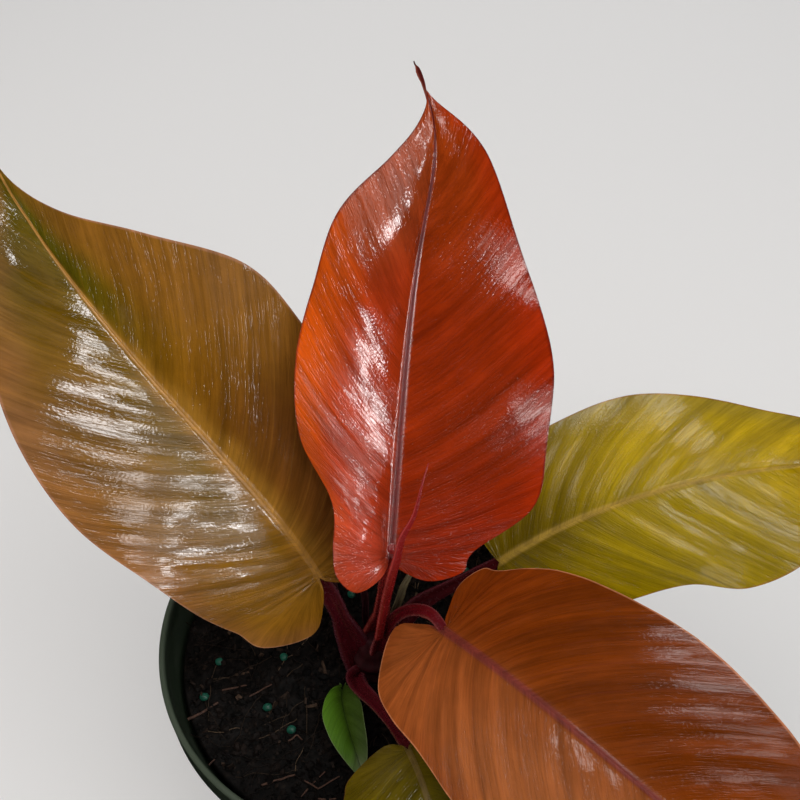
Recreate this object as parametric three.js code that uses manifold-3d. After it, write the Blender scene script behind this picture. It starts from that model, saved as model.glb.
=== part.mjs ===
// A potted philodendron: a plastic nursery pot of soil, a short stem, five leaves on their petioles,
// an unopened leaf, dry sheaths and slow-release prills. Millimetres, +Z up, origin at the centre of
// the pot's base, front towards -Y. A leaf is a folded, curling sheet on a curved spine.
import * as THREE from 'three';
import { mergeVertices } from 'three/addons/utils/BufferGeometryUtils.js';
import Module from 'manifold-3d';

const wasm = await Module();
wasm.setup();

const gap = 0.3; // clearance between neighbouring solids
const weldDistance = 1e-4; // corners closer than this are one

const pot = {
  height: 140, rimRadius: 78, baseRadius: 55, wall: 1.6, floor: 2, lipHeight: 13, lipStep: 2.6,
  edgeRound: 2, rimRound: 1.2, sides: 48, holes: 8, holeRadius: 5, holeLength: 16, holeSides: 12,
};
const soil = { level: 126, relief: 0.9, rings: 9, sides: 40, clearance: 0.6 };
const prill = { radius: 1.5, lift: 0.6, sides: 8, rings: 6 };

// The stem stands in a socket in the soil.
const stem = {
  x: 0, y: -9, foot: 108, sides: 20,
  outline: [[0, 0], [6.5, 1], [8, 8], [8.5, 17], [7.5, 25], [5, 31], [2, 34.5], [0, 35]],
};

const stalkGrid = { steps: 14, sides: 10 };
const petioleEnd = 1.6; // from the end of a petiole to the base of its midrib

// A blade is laid out in veins: the lobe's fan round the petiole, the rest leave the midrib.
const blade = {
  thickness: 1, spineSteps: 80, marginSteps: 240, lobeVeins: 7, mainVeins: 20, rows: 4,
  stations: [0.02, 0.12, 0.25, 0.4, 0.55, 0.7, 0.82, 0.92], // where half-widths are measured
  lobeCurve: [0.28, 0.6], // a point on the lobe's inner edge, as shares of its out and back
  shoulder: [0.78, 0.5], // a point on its outer edge, between the lobe and the first half-width
  crowding: 1.4, // how much closer the veins start near the petiole
  bow: [0.6, 0.15], // where a vein bends: share of its way out, and of its way forward
};

// Angles are degrees. facing: [compass, elevation] of the upper side at base and tip, compass 0 being
// the front and 90 the right. fold: rise of a half at base and tip. lobe: [out, back] at the base.
const leaves = {
  upright_red: {
    spine: [[8, -13, 198], [17, 33, 252], [20, 50, 283], [28, 50, 295], [31, 50, 302], [22, 67, 321]],
    facing: [[5, 39], [22, 31]],
    left: { fold: [28, 21], curl: -37, lobe: [11, 11], widths: [20, 21, 32, 35, 32, 28, 14, 1] },
    right: { fold: [7, 8], curl: -5, lobe: [13, 7], widths: [26, 43, 46, 47, 39, 28, 16, 2] },
    petiole: [[0, -7, 124], [0, -4, 136], [3, -4, 150], [5, -7, 171]],
    petioleSize: [[11, 8], [6.5, 5.5], [5, 4.5], [4, 3.6]],
    color: 0x8c2a08,
  },
  left_olive: {
    spine: [[-16, -7, 180], [-24, -4, 207], [-40, 4, 230], [-63, 18, 251], [-87, 41, 272], [-108, 73, 296]],
    facing: [[-13, 62], [-37, 57]],
    left: { fold: [26, 26], curl: -15, lobe: [12, 18], widths: [32, 37, 41, 45, 41, 31, 17, 3] },
    right: { fold: [12, 10], curl: -17, lobe: [14, 8], widths: [33, 38, 42, 45, 44, 27, 11, 2] },
    petiole: [[-3, -10, 122], [-6, -10, 136], [-9, -9, 149], [-12, -8, 164]],
    petioleSize: [[13, 8], [12, 6.5], [9.5, 5], [6, 4.2]],
    color: 0x7f5015,
  },
  near_orange: {
    spine: [[24, -33, 185], [33, -47, 194], [48, -62, 198], [69, -83, 191], [99, -104, 173], [139, -123, 141]],
    facing: [[6, 62], [21, 53]],
    left: { fold: [7, 14], curl: -12, lobe: [15, 7], widths: [25, 34, 39, 42, 39, 32, 19, 6] },
    right: { fold: [4, 8], curl: -18, lobe: [9, 20], widths: [30, 32, 37, 39, 36, 26, 16, 6] },
    petiole: [[1, -12, 126], [3, -13, 148], [8, -15, 165], [14, -19, 176], [20, -26, 184]],
    petioleSize: [[9, 7], [6, 5], [4.2, 3.8], [3.8, 3.4], [3.6, 3.2]],
    color: 0x8a4216,
  },
  right_yellow: {
    spine: [[45, 3, 169], [74, 15, 181], [106, 22, 187], [138, 25, 188], [166, 29, 184], [188, 32, 174]],
    facing: [[20, 50], [21, 65]],
    left: { fold: [7, 6], curl: -11, lobe: [10, 1], widths: [28, 31, 34, 35, 29, 21, 15, 8] },
    right: { fold: [6, 8], curl: -10, lobe: [10, 4], widths: [29, 32, 32, 33, 39, 34, 21, 8] },
    petiole: [[3, -8, 122], [7, -5, 139], [15, -1, 149], [25, 1, 156], [35, 2, 162]],
    petioleSize: [[11, 8], [8, 6], [6.5, 5], [5.4, 4.4], [4.4, 3.8]],
    color: 0xa58c0c,
  },
  front_green: {
    spine: [[11, -62, 167], [15, -74, 173], [19, -87, 173], [21, -101, 164], [19, -116, 146], [14, -132, 117]],
    facing: [[-5, 64], [0, 65]],
    left: { fold: [7, 8], curl: -12, lobe: [8, 4], widths: [23, 25, 26, 25, 22, 15, 9, 3] },
    right: { fold: [4, 8], curl: -14, lobe: [7, 7], widths: [23, 25, 26, 25, 22, 15, 9, 3] },
    petiole: [[-3, -13, 122], [-7, -17, 131], [-5, -25, 138], [1, -36, 146], [7, -49, 155]],
    petioleSize: [[10, 7], [7, 5.5], [5, 4.4], [4, 3.6], [3.6, 3.2]],
    color: 0x4b4208,
  },
};

// Rolled leaf, dry sheaths and scale leaf: a path, and [width, depth] of the section at each point.
const shoots = {
  new_leaf_spear: {
    path: [[2, -15, 153], [5, -16, 175], [8, -18, 194], [10, -18, 203], [12, -16, 211], [16, -13, 218],
      [19, -8, 227], [21, -4, 231]],
    size: [[3, 2.6], [3, 2.8], [3.2, 3], [3.2, 3], [2.8, 2.6], [2, 1.8], [1, 0.9], [0.3, 0.3]],
    facing: [20, 20], color: 0x6e1616,
  },
  dry_sheath_right: {
    path: [[5, 4, 131], [9, 4, 150], [14, 5, 165], [18, 6, 176]],
    size: [[4, 1.6], [3.6, 1.4], [3, 1.2], [1, 0.6]],
    facing: [20, 30], color: 0x7a6f52,
  },
  dark_sheath_back: {
    path: [[-3, 4, 132], [-3, 6, 146], [-3, 8, 158], [-2, 10, 168]],
    size: [[4, 1.6], [3.6, 1.4], [3, 1.2], [1, 0.6]],
    facing: [0, 30], color: 0x2e1418,
  },
  dark_sheath_left: {
    path: [[-11, 0, 131], [-12, 1, 146], [-12, 2, 157], [-12, 4, 166]],
    size: [[3.4, 1.5], [3, 1.3], [2.4, 1.1], [0.8, 0.5]],
    facing: [-20, 30], color: 0x2a1216,
  },
  green_scale_leaf: {
    path: [[-11, -19, 131], [-10, -27, 132.5], [-9, -36, 133], [-7, -46, 132], [-5, -54, 129.5]],
    size: [[4, 2], [11, 3.2], [13, 3.2], [9, 2.8], [0.6, 0.6]],
    facing: [-10, 70], color: 0x2f4510,
  },
};

const prillPlaces = [[-58, -6], [-34, -6], [-62, -20], [-39, -25], [-30, -34], [-9, 20], [36, 29], [41, 27]];

const radians = THREE.MathUtils.degToRad;
const vector = ([x, y, z]) => new THREE.Vector3(x, y, z);
const mix = ([from, to], u) => from + (to - from) * u;

function direction([compass, elevation]) {
  const a = radians(compass);
  const e = radians(elevation);
  return new THREE.Vector3(Math.sin(a) * Math.cos(e), -Math.cos(a) * Math.cos(e), Math.sin(e));
}

function bezierPoint(controls, t) {
  let points = controls;
  while (points.length > 1) {
    const shorter = [];
    for (let i = 1; i < points.length; i += 1) shorter.push(points[i - 1].clone().lerp(points[i], t));
    points = shorter;
  }
  return points[0];
}

// Joins shared corners and drops the triangles that collapse at tips and lobes.
function weld(geometry) {
  geometry.deleteAttribute('normal');
  geometry.deleteAttribute('uv');
  const merged = mergeVertices(geometry, weldDistance);
  const corners = merged.index.array;
  const kept = [];
  for (let i = 0; i < corners.length; i += 3) {
    const [a, b, c] = [corners[i], corners[i + 1], corners[i + 2]];
    if (a !== b && b !== c && c !== a) kept.push(a, b, c);
  }
  merged.setIndex(kept);
  return merged;
}

function soupGeometry(triangles) {
  const geometry = new THREE.BufferGeometry();
  const numbers = triangles.flatMap((point) => [point.x, point.y, point.z]);
  geometry.setAttribute('position', new THREE.Float32BufferAttribute(numbers, 3));
  return geometry;
}

function toSolid(geometry) {
  const welded = weld(geometry);
  return new wasm.Manifold(new wasm.Mesh({
    numProp: 3,
    vertProperties: Float32Array.from(welded.attributes.position.array),
    triVerts: Uint32Array.from(welded.index.array),
  }));
}

function toGeometry(solid) {
  const mesh = solid.getMesh();
  const geometry = new THREE.BufferGeometry();
  geometry.setAttribute('position', new THREE.BufferAttribute(mesh.vertProperties, 3));
  geometry.setIndex(new THREE.BufferAttribute(mesh.triVerts, 1));
  return geometry;
}

function largestBody(solid) {
  return solid.decompose().reduce((a, b) => (b.volume() > a.volume() ? b : a));
}

// Cuts the grown copies of its neighbours out of a solid, so that clearance is left between them.
function carve(solid, neighbours) {
  const cut = neighbours.reduce((left, other) => left.subtract(other), solid);
  return largestBody(cut);
}

function quad(triangles, a, b, c, d) {
  triangles.push(a, b, c, a, c, d);
}

// Sweeps an elliptical section along a path. sizes are [width, depth] at the path's points, and the
// section's depth faces the direction given. The ends are closed.
function sweep(path, sizes, facing, grow = 0) {
  const { steps, sides } = stalkGrid;
  const curve = new THREE.CatmullRomCurve3(path.map(vector), false, 'centripetal');
  const up = direction(facing);
  const rings = [];
  for (let i = 0; i <= steps; i += 1) {
    const t = i / steps;
    const place = t * (sizes.length - 1);
    const index = Math.min(Math.floor(place), sizes.length - 2);
    const size = [0, 1].map((k) => mix([sizes[index][k], sizes[index + 1][k]], place - index));
    const centre = curve.getPoint(t);
    const tangent = curve.getTangent(t);
    const across = new THREE.Vector3().crossVectors(tangent, up).normalize();
    const out = new THREE.Vector3().crossVectors(across, tangent).normalize();
    const ring = [];
    for (let k = 0; k < sides; k += 1) {
      const angle = (2 * Math.PI * k) / sides;
      ring.push(centre.clone()
        .addScaledVector(across, Math.cos(angle) * (size[0] / 2 + grow))
        .addScaledVector(out, Math.sin(angle) * (size[1] / 2 + grow)));
    }
    rings.push({ centre, tangent, ring });
  }
  const triangles = [];
  for (let i = 0; i < steps; i += 1) {
    for (let k = 0; k < sides; k += 1) {
      const next = (k + 1) % sides;
      quad(triangles, rings[i].ring[k], rings[i + 1].ring[k], rings[i + 1].ring[next], rings[i].ring[next]);
    }
  }
  const first = rings[0];
  const last = rings[steps];
  const start = first.centre.clone().addScaledVector(first.tangent, -grow);
  const end = last.centre.clone().addScaledVector(last.tangent, grow);
  for (let k = 0; k < sides; k += 1) {
    const next = (k + 1) % sides;
    triangles.push(start, first.ring[k], first.ring[next]);
    triangles.push(end, last.ring[next], last.ring[k]);
  }
  return toSolid(soupGeometry(triangles));
}

// The leaf's spine with its running length, and at each point the way along, up and across.
function traceSpine(leaf) {
  const count = blade.spineSteps;
  const controls = leaf.spine.map(vector);
  const points = [];
  for (let i = 0; i <= count; i += 1) points.push(bezierPoint(controls, i / count));
  const lengths = [0];
  for (let i = 1; i <= count; i += 1) lengths.push(lengths[i - 1] + points[i].distanceTo(points[i - 1]));
  const length = lengths[count];
  const [baseUp, tipUp] = leaf.facing.map(direction);
  const frames = points.map((point, i) => {
    const before = points[Math.max(i - 1, 0)];
    const after = points[Math.min(i + 1, count)];
    const along = after.clone().sub(before).normalize();
    const up = baseUp.clone().lerp(tipUp, lengths[i] / length);
    up.addScaledVector(along, -up.dot(along)).normalize();
    return { point, along, up, across: new THREE.Vector3().crossVectors(along, up) };
  });
  return { frames, lengths, length };
}

function frameAt(spine, distance) {
  const { frames, lengths } = spine;
  let i = 1;
  while (i < lengths.length - 1 && lengths[i] < distance) i += 1;
  const u = (distance - lengths[i - 1]) / (lengths[i] - lengths[i - 1]);
  const blend = (key) => frames[i - 1][key].clone().lerp(frames[i][key], u);
  return {
    point: blend('point'),
    along: blend('along').normalize(),
    up: blend('up').normalize(),
    across: blend('across').normalize(),
  };
}

// A place on the sheet: out is the distance from the midrib along the folded, curling section.
function sheetPoint(spine, half, sign, widest, out, along, offset) {
  const distance = THREE.MathUtils.clamp(along, 0, spine.length);
  const frame = frameAt(spine, distance);
  const fold = radians(mix(half.fold, distance / spine.length));
  const bend = radians(half.curl) / widest;
  const angle = fold + bend * out;
  const tilt = out > 0 ? angle : 0; // the halves meet squarely on the midrib
  const lateral = (Math.sin(angle) - Math.sin(fold)) / bend - offset * Math.sin(tilt);
  const height = (Math.cos(fold) - Math.cos(angle)) / bend + offset * Math.cos(tilt);
  return frame.point
    .addScaledVector(frame.along, Math.min(along, 0))
    .addScaledVector(frame.across, sign * lateral)
    .addScaledVector(frame.up, height);
}

// The side veins of one half, each from its start on the midrib to the margin.
function sideVeins(half, length, grow) {
  const { lobeVeins, mainVeins, marginSteps, lobeCurve, shoulder, crowding, bow } = blade;
  const [out, back] = half.lobe;
  const outline = [
    [0, 0], [lobeCurve[0] * out - grow, -lobeCurve[1] * back], [out, -back - grow],
    [mix([out, half.widths[0]], shoulder[0]), -shoulder[1] * back],
  ];
  half.widths.forEach((width, i) => outline.push([width, blade.stations[i] * length]));
  outline.push([0, length]);
  const margin = new THREE.SplineCurve(outline.map(([x, y]) => new THREE.Vector2(x, y)));
  const lobeEnd = margin.getSpacedPoints(marginSteps).findIndex((point) => point.y > 0) / marginSteps;
  const veins = [];
  for (let i = 0; i <= lobeVeins + mainVeins; i += 1) {
    const run = Math.max(0, i - lobeVeins) / mainVeins;
    const fan = Math.min(1, i / lobeVeins);
    const edge = margin.getPointAt(lobeEnd * fan + (1 - lobeEnd) * run);
    const start = new THREE.Vector2(0, length * run ** crowding);
    const outward = i === 0 ? new THREE.Vector2(0, -1) : edge.clone().sub(start).normalize();
    edge.addScaledVector(outward, grow);
    const bend = new THREE.Vector2(bow[0] * edge.x, start.y + bow[1] * (edge.y - start.y));
    veins.push(new THREE.QuadraticBezierCurve(start, bend, edge));
  }
  return veins;
}

// A blade: its faces follow the side veins, and a narrow wall closes the margin.
function bladeSolid(leaf, grow = 0) {
  const { rows } = blade;
  const thickness = blade.thickness + 2 * grow;
  const spine = traceSpine(leaf);
  const widest = Math.max(...leaf.left.widths, ...leaf.right.widths);
  const triangles = [];
  for (const [half, sign] of [[leaf.left, -1], [leaf.right, 1]]) {
    const veins = sideVeins(half, spine.length, grow);
    const faces = [0.5, -0.5].map((side) => veins.map((vein) => (
      Array.from({ length: rows + 1 }, (_, j) => {
        const { x, y } = vein.getPoint(j / rows);
        return sheetPoint(spine, half, sign, widest, x, y, side * thickness);
      }))));
    const [top, under] = sign < 0 ? faces : faces.reverse();
    for (let i = 0; i < veins.length - 1; i += 1) {
      for (let j = 0; j < rows; j += 1) {
        quad(triangles, top[i][j], top[i + 1][j], top[i + 1][j + 1], top[i][j + 1]);
        quad(triangles, under[i][j], under[i][j + 1], under[i + 1][j + 1], under[i + 1][j]);
      }
      quad(triangles, top[i][rows], top[i + 1][rows], under[i + 1][rows], under[i][rows]);
    }
  }
  return toSolid(soupGeometry(triangles));
}

function lathe(profile, sides) {
  const points = profile.map(([radius, height]) => new THREE.Vector2(radius, height));
  return new THREE.LatheGeometry(points, sides).rotateX(Math.PI / 2);
}

// Tapering pot with a stepped, rounded lip and drainage holes round its lower edge.
function potSolid() {
  const { height, rimRadius, baseRadius, wall, floor, lipHeight, lipStep, edgeRound, rimRound } = pot;
  const neck = height - lipHeight;
  const neckRadius = rimRadius - lipStep;
  const profile = [
    [0, 0], [baseRadius - edgeRound, 0], [baseRadius, edgeRound],
    [neckRadius - edgeRound / 2, neck - edgeRound / 2], [rimRadius - edgeRound / 4, neck],
    [rimRadius, neck + edgeRound], [rimRadius, height - rimRound],
    [rimRadius - rimRound, height], [rimRadius - 2 * rimRound, height - rimRound],
    [rimRadius - lipStep, neck + edgeRound], [neckRadius - wall - edgeRound / 2, neck - edgeRound],
    [baseRadius - wall, floor + wall], [baseRadius - 2 * wall, floor], [0, floor],
  ];
  let solid = toSolid(lathe(profile, pot.sides));
  for (let i = 0; i < pot.holes; i += 1) {
    const hole = new THREE.CylinderGeometry(pot.holeRadius, pot.holeRadius, pot.holeLength, pot.holeSides);
    hole.rotateZ(Math.PI / 2).translate(baseRadius, 0, floor + edgeRound / 2);
    hole.rotateZ((2 * Math.PI * (i + 0.5)) / pot.holes);
    solid = solid.subtract(toSolid(hole));
  }
  return solid;
}

// Low lumps that die out towards the pot's wall.
function soilHeight(x, y) {
  const edge = pot.rimRadius - pot.lipStep - pot.wall;
  const calm = Math.max(0, 1 - (Math.hypot(x, y) / edge) ** 6);
  const lumps = Math.sin(x / 8 + 1) * Math.cos(y / 10) + 0.5 * Math.sin(x / 5 - y / 6);
  return soil.level + soil.relief * calm * lumps;
}

function soilSolid() {
  const inside = pot.wall + soil.clearance;
  const lowRadius = pot.baseRadius - pot.wall - inside;
  const neckRadius = pot.rimRadius - pot.lipStep - pot.edgeRound / 2 - inside;
  const edge = mix([lowRadius, neckRadius], soil.level / (pot.height - pot.lipHeight));
  const profile = [[0, pot.floor + gap], [lowRadius, pot.floor + gap], [edge, soil.level]];
  for (let i = soil.rings - 1; i >= 0; i -= 1) profile.push([(edge * i) / soil.rings, soil.level]);
  const geometry = lathe(profile, soil.sides);
  const place = geometry.attributes.position;
  for (let i = 0; i < place.count; i += 1) {
    const onTop = place.getZ(i) > soil.level - gap;
    if (onTop) place.setZ(i, soilHeight(place.getX(i), place.getY(i)));
  }
  return toSolid(geometry);
}

function stemSolid(grow) {
  const profile = stem.outline.map(([radius, height], i) => {
    const last = stem.outline.length - 1;
    const lift = i === 0 ? -grow : i === last ? grow : 0;
    return [radius > 0 ? radius + grow : 0, height + lift];
  });
  return toSolid(lathe(profile, stem.sides).translate(stem.x, stem.y, stem.foot));
}

const plant = new THREE.Group();

function addMesh(name, geometry, color, roughness) {
  const material = new THREE.MeshStandardMaterial({ color, roughness, metalness: 0 });
  const mesh = new THREE.Mesh(geometry, material);
  mesh.name = name;
  plant.add(mesh);
  return mesh;
}

addMesh('nursery_pot', toGeometry(potSolid()), 0x26301f, 0.45);
addMesh('stem', toGeometry(stemSolid(0)), 0x2b080d, 0.5);

// Each shoot or petiole is carved by the grown copies of what was placed before it.
const placed = [stemSolid(gap)];
const blades = Object.entries(leaves).map(([name, leaf]) => {
  addMesh(`${name}_blade`, toGeometry(bladeSolid(leaf)), leaf.color, 0.3);
  return bladeSolid(leaf, 2 * gap);
});
placed.push(...blades);

for (const [name, leaf] of Object.entries(leaves)) {
  const base = vector(leaf.spine[0]);
  const back = vector(leaf.petiole[leaf.petiole.length - 1]).sub(base).setLength(petioleEnd);
  const path = [...leaf.petiole, base.add(back).toArray()];
  const tip = leaf.petioleSize[leaf.petioleSize.length - 1];
  const sizes = [...leaf.petioleSize, tip];
  const up = leaf.facing[0];
  addMesh(`${name}_petiole`, toGeometry(carve(sweep(path, sizes, up), placed)), 0x3a0a10, 0.35);
  placed.push(sweep(path, sizes, up, gap));
}

for (const [name, shoot] of Object.entries(shoots)) {
  const body = carve(sweep(shoot.path, shoot.size, shoot.facing), placed);
  addMesh(name, toGeometry(body), shoot.color, 0.4);
  placed.push(sweep(shoot.path, shoot.size, shoot.facing, gap));
}

addMesh('potting_soil', toGeometry(carve(soilSolid(), placed)), 0x14100f, 0.95);

prillPlaces.forEach(([x, y], i) => {
  const ball = weld(new THREE.SphereGeometry(prill.radius, prill.sides, prill.rings));
  const mesh = addMesh(`fertiliser_prill_${i + 1}`, ball, 0x1d6b5c, 0.5);
  mesh.position.set(x, y, soilHeight(x, y) + prill.radius + prill.lift);
});

export default plant;
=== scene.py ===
import math

import bmesh
import bpy
import numpy as np
from mathutils import Matrix, Vector, noise


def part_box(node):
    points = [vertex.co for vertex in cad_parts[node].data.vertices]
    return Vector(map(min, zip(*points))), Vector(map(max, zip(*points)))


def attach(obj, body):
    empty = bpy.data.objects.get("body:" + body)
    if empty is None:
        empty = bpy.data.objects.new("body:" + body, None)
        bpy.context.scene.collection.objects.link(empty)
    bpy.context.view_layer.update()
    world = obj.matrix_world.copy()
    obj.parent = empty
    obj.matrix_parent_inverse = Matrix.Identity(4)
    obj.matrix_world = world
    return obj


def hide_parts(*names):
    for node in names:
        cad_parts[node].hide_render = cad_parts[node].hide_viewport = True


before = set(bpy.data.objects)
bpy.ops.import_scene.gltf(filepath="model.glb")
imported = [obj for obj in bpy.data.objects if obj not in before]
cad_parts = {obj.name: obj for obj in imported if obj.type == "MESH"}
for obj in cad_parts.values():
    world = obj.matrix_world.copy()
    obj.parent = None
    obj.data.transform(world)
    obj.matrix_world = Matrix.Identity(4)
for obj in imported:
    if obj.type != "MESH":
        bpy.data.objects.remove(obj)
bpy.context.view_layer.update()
mm = 0.001
fullTurn = 2 * math.pi
print("frame loaded")


def srgb(hexColour):
    parts = [int(hexColour[i:i + 2], 16) / 255 for i in (1, 3, 5)]
    linear = [p / 12.92 if p <= 0.04045 else ((p + 0.055) / 1.055) ** 2.4 for p in parts]
    return (*linear, 1.0)


# Sockets are named, or filled in order from a row. A node or socket given as a value is linked.
def feed(tree, node, inputs):
    for key, value in inputs.items() if isinstance(inputs, dict) else enumerate(inputs):
        if isinstance(value, bpy.types.Node):
            value = next(socket for socket in value.outputs if socket.enabled)
        if isinstance(value, bpy.types.NodeSocket):
            tree.links.new(value, node.inputs[key])
        else:
            node.inputs[key].default_value = value


def addNode(tree, kind, inputs=(), **settings):
    node = tree.nodes.new(kind)
    for key, value in settings.items():
        setattr(node, key, value)
    feed(tree, node, inputs)
    return node


def newMaterial(name):
    material = bpy.data.materials.new(name)
    material.use_nodes = True
    tree = material.node_tree
    tree.nodes.clear()
    shader = addNode(tree, "ShaderNodeBsdfPrincipled")
    addNode(tree, "ShaderNodeOutputMaterial", {"Surface": shader})
    return material, tree, shader


def addObject(name, data):
    thing = bpy.data.objects.new(name, data)
    bpy.context.scene.collection.objects.link(thing)
    return thing


def showPiece(name, mesh, nodes=(), material=None, smooth=True):
    if material:
        mesh.materials.append(material)
    if smooth:
        mesh.shade_smooth()
    piece = addObject(name, mesh)
    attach(piece, "root")
    if nodes:
        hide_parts(*nodes)


def settle(host, name):  # the host's final shape as a plain mesh; the host itself goes
    graph = bpy.context.evaluated_depsgraph_get()
    mesh = bpy.data.meshes.new_from_object(host.evaluated_get(graph), preserve_all_data_layers=True,
                                           depsgraph=graph)
    bpy.data.objects.remove(host)
    mesh.name = name
    return mesh


def meshOf(name, points, faces):
    mesh = bpy.data.meshes.new(name)
    mesh.from_pydata([tuple(p) for p in points], [], faces)
    return mesh


def storeValues(mesh, layers):
    for key, values in layers.items():
        layer = mesh.attributes.new(key, "FLOAT", "POINT")
        layer.data.foreach_set("value", np.array(values, float))


def ringFaces(rings, count, first=0):
    return [(first + i * count + k, first + (i + 1) * count + k,
             first + (i + 1) * count + (k + 1) % count, first + i * count + (k + 1) % count)
            for i in range(rings - 1) for k in range(count)]


def tubeFaces(rings, count):  # closed by a fan at each end, round the two points that come last
    start, last = rings * count, (rings - 1) * count
    faces = ringFaces(rings, count)
    for k in range(count):
        n = (k + 1) % count
        faces += [(start, k, n), (start + 1, last + n, last + k)]
    return faces


def direction(compass, elevation):
    a, e = math.radians(compass), math.radians(elevation)
    return np.array([math.sin(a) * math.cos(e), -math.cos(a) * math.cos(e), math.sin(e)])


def unit(v):
    return v / np.linalg.norm(v, axis=-1, keepdims=True)


def smoothStep(low, high, x):
    u = np.clip((x - low) / (high - low), 0, 1)
    return u * u * (3 - 2 * u)


def noiseAt(points, scale, seed):
    return np.array([noise.noise(Vector((p[0] * scale, p[1] * scale, p[2] * scale + seed))) for p in points])


cameraLook = {"place": (13.5, -191.0, 446.9), "pitch": 45.3, "roll": -2.8, "lens": 43.47}  # mm, degrees


def makeCamera():
    data = bpy.data.cameras.new("camera")
    data.lens = cameraLook["lens"]
    data.sensor_width = 36
    camera = addObject("camera", data)
    p, r = math.radians(cameraLook["pitch"]), math.radians(cameraLook["roll"])
    forward = Vector((0, math.cos(p), -math.sin(p)))
    level, upright = Vector((1, 0, 0)), Vector((0, math.sin(p), math.cos(p)))
    right = math.cos(r) * level + math.sin(r) * upright
    up = -math.sin(r) * level + math.cos(r) * upright
    turn = Matrix((right, up, -forward)).transposed().to_4x4()
    camera.matrix_world = Matrix.Translation(Vector(cameraLook["place"]) * mm) @ turn
    bpy.context.scene.camera = camera


studio = {
    "floorColour": "#e4e2e0", "floorRoughness": 0.8, "floorSize": 12,
    "worldColour": "#e4e8ee", "worldStrength": 0.36, "target": (20, -10, 190),
    "lights": {  # compass, elevation, distance m, size m, power W, colour, what it reaches
        "window": (46, 9, 1.6, (0.26, 0.2), 4.6, "#ffffff", "gloss"),
        "upperPane": (57, 60, 1.6, (0.3, 0.3), 4.2, "#ffffff", "gloss"),
        "skylight": (66, 71, 1.6, (0.26, 0.26), 4, "#ffffff", "gloss"),
        "lowPane": (54, 29, 1.6, (0.24, 0.14), 2.2, "#ffffff", "gloss"),
        "glow": (47, 22, 1.8, (0.9, 1.1), 5.5, "#fff4ee", "gloss"),
        "sheen": (37, 41, 1.8, (0.46, 0.24), 3.6, "#fff8f4", "gloss"),
        "ceiling": (10, 70, 1.8, (1.5, 1.2), 1.4, "#ffffff", "gloss"),
        "side": (76, 50, 1.8, (0.9, 0.7), 1.8, "#ffffff", "gloss"),
        "daylight": (46, 40, 1.8, (1.2, 1.6), 12.5, "#ffffff", "diffuse"),
        "soft": (-30, 75, 1.8, (2.2, 2.2), 17, "#fffcf8", "diffuse"),
        "left": (-80, 30, 1.8, (1.6, 1.6), 8, "#fff8f2", "diffuse"),
        "rear": (170, 35, 1.8, (1.6, 1.6), 8, "#ffffff", "diffuse"),
    },
}


def makeStudio():
    scene = bpy.context.scene
    scene.view_settings.view_transform = "Standard"
    world = bpy.data.worlds.new("world")
    world.use_nodes = True
    feed(world.node_tree, world.node_tree.nodes["Background"],
         {"Color": srgb(studio["worldColour"]), "Strength": studio["worldStrength"]})
    world.cycles_visibility.glossy = False  # only the panes show in the gloss
    scene.world = world
    target = Vector(studio["target"]) * mm
    for name, (compass, elevation, distance, size, power, colour, reach) in studio["lights"].items():
        data = bpy.data.lights.new(name, "AREA")
        data.shape = "RECTANGLE"
        data.size, data.size_y = size
        data.energy = power
        data.color = srgb(colour)[:3]
        light = addObject(name, data)
        away = Vector(direction(compass, elevation))
        light.location = target + away * distance
        light.rotation_mode = "QUATERNION"
        light.rotation_quaternion = (-away).to_track_quat("-Z", "Y")
        light.visible_glossy = reach == "gloss"
        light.visible_diffuse = reach == "diffuse"
    bpy.ops.mesh.primitive_plane_add(size=studio["floorSize"])
    floor = bpy.context.object
    floor.name = "floor"
    material, tree, shader = newMaterial("paintedFloor")
    feed(tree, shader, {"Base Color": srgb(studio["floorColour"]), "Roughness": studio["floorRoughness"]})
    floor.data.materials.append(material)
    floor.visible_glossy = False


makeCamera()
makeStudio()
print("camera and studio ready")

# Each leaf is a folded, curling sheet on a curved spine. Sizes are in mm, fold and curl in degrees.
# The rib sets the size of the midrib and soft lumps; corrugation, wave and creases are heights.
stations = [0.02, 0.12, 0.25, 0.4, 0.55, 0.7, 0.82, 0.92]  # where half-widths are measured

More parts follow.
